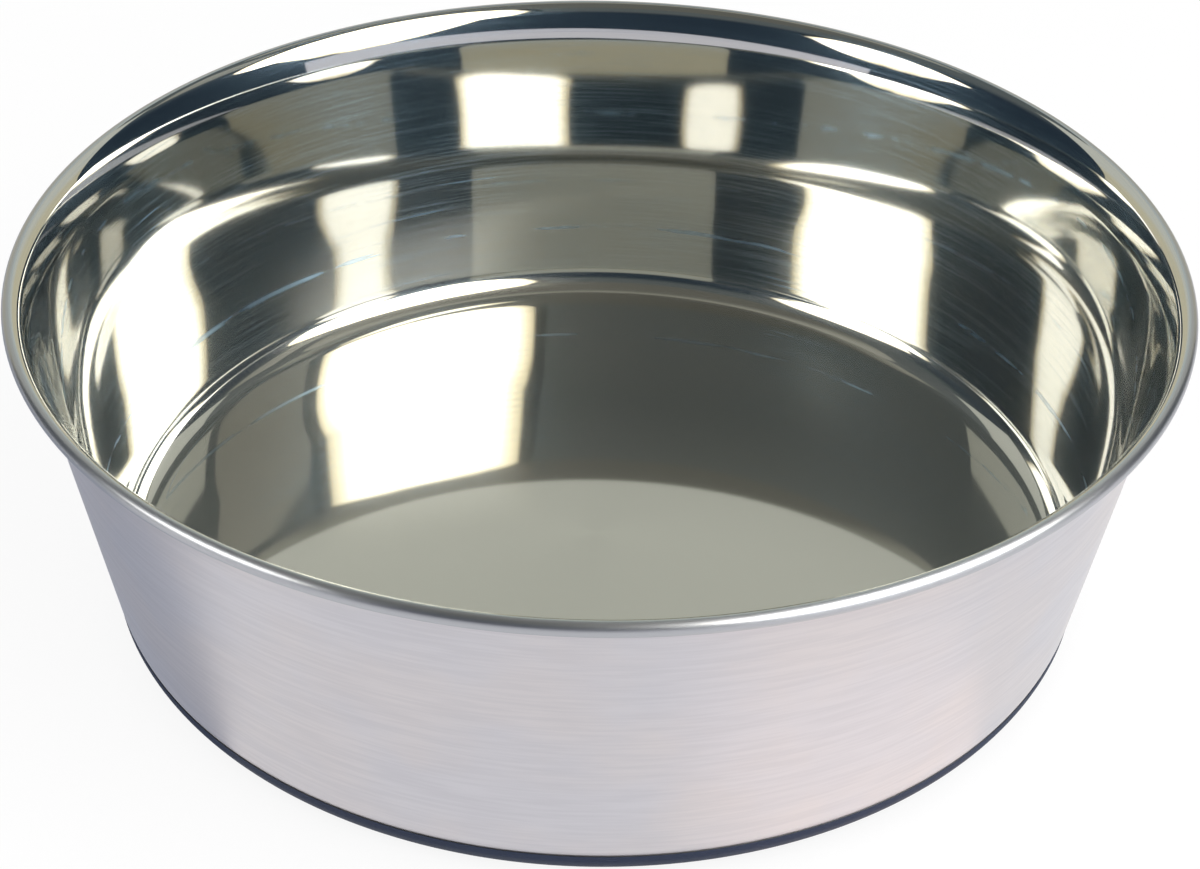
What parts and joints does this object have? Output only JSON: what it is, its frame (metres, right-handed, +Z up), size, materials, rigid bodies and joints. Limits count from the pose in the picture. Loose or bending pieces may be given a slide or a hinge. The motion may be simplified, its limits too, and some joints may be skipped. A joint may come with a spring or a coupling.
{
  "type": "dog bowl",
  "caption": "Round stainless steel dog bowl with a leaning wall, a rolled rim, a bright inside, a satin outside and a bonded anti-slip rubber base.",
  "frame": {"origin": "on the bowl's axis, on the surface that the rubber base stands on", "axes": "+Z up along the axis of revolution, towards the open top; X and Y are free, because the bowl is round"},
  "size_m": [0.24, 0.24, 0.0745],
  "materials": {
    "steel": "mirror polished inside and over the rim, satin brushed round the outside",
    "adhesive": "cured film, hidden",
    "rubber": "matt moulded"
  },
  "bodies": {
    "root": {"steel_bowl": "steel", "bond_film": "adhesive", "rubber_base": "rubber"}
  },
  "joints": []
}
